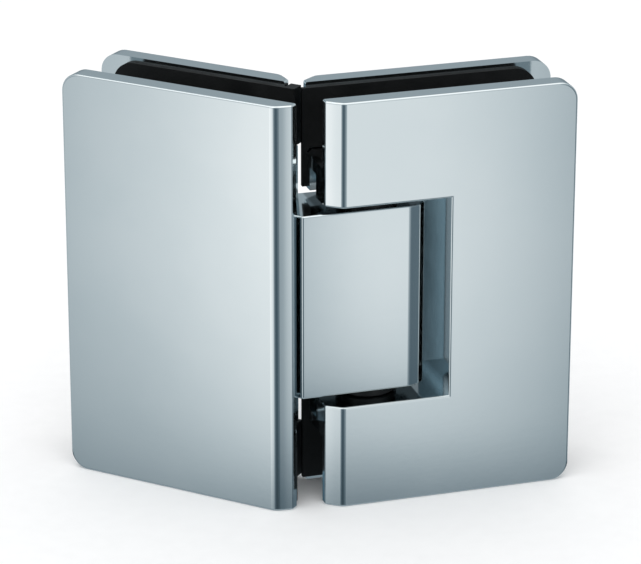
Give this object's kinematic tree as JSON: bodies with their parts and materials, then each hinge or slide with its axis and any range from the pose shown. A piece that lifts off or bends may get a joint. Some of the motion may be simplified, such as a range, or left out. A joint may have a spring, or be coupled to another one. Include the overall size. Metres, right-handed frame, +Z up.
{
  "type": "glass door hinge",
  "caption": "Angled glass-to-glass shower door hinge: two chrome clamp leaves, one notched around a sprung pivot block.",
  "frame": {"origin": "on the pivot pin's axis at mid-height, in the middle of the door leaf's glass slot", "axes": "+Z up along the pivot pin; +X along the closed door leaf, away from the pin; the outer, convex side of the corner faces -Y and the inner side +Y"},
  "size_m": [0.1009, 0.0521, 0.09],
  "materials": {
    "chrome_plate": "polished chrome plate on brass",
    "chrome_body": "polished chrome plate on brass",
    "chrome_screw": "chrome plated steel",
    "steel_screw": "turned steel",
    "pin_steel": "ground stainless steel",
    "spring_steel": "drawn spring wire",
    "brass_plunger": "turned brass",
    "black_acetal": "black acetal",
    "black_rubber": "black rubber sheet"
  },
  "bodies": {
    "fixed_leaf": {"fixed_front_plate": "chrome_plate", "fixed_back_plate": "chrome_plate", "fixed_front_gasket": "black_rubber", "fixed_back_gasket": "black_rubber", "hinge_body": "chrome_body", "body_fixing_screws": "steel_screw", "fixed_clamp_screws": "chrome_screw", "upper_bush": "black_acetal", "lower_bush": "black_acetal", "upper_spring": "spring_steel", "lower_spring": "spring_steel", "spring_screws": "steel_screw"},
    "door_leaf": {"pivot_pin": "pin_steel", "door_front_plate": "chrome_plate", "door_back_plate": "chrome_plate", "door_front_gasket": "black_rubber", "door_back_gasket": "black_rubber", "door_clamp_screws": "chrome_screw", "pin_set_screws": "steel_screw"},
    "upper_plunger": {"upper_plunger": "brass_plunger"},
    "lower_plunger": {"lower_plunger": "brass_plunger"}
  },
  "joints": [
    {"name": "door_swing", "type": "hinge", "parent": "fixed_leaf", "child": "door_leaf", "pos_m": [0, 0, 0], "axis": [0, 0, 1], "range_deg": [-90, 90]},
    {"name": "upper_plunger_slide", "type": "slide", "parent": "fixed_leaf", "child": "upper_plunger", "axis": [1, 0, 0], "range_m": [0, 0.0008], "stiffness_N_per_m": 4000, "springref_m": 0.004, "deforming": ["upper_spring"]},
    {"name": "lower_plunger_slide", "type": "slide", "parent": "fixed_leaf", "child": "lower_plunger", "axis": [1, 0, 0], "range_m": [0, 0.0008], "stiffness_N_per_m": 4000, "springref_m": 0.004, "deforming": ["lower_spring"]}
  ]
}
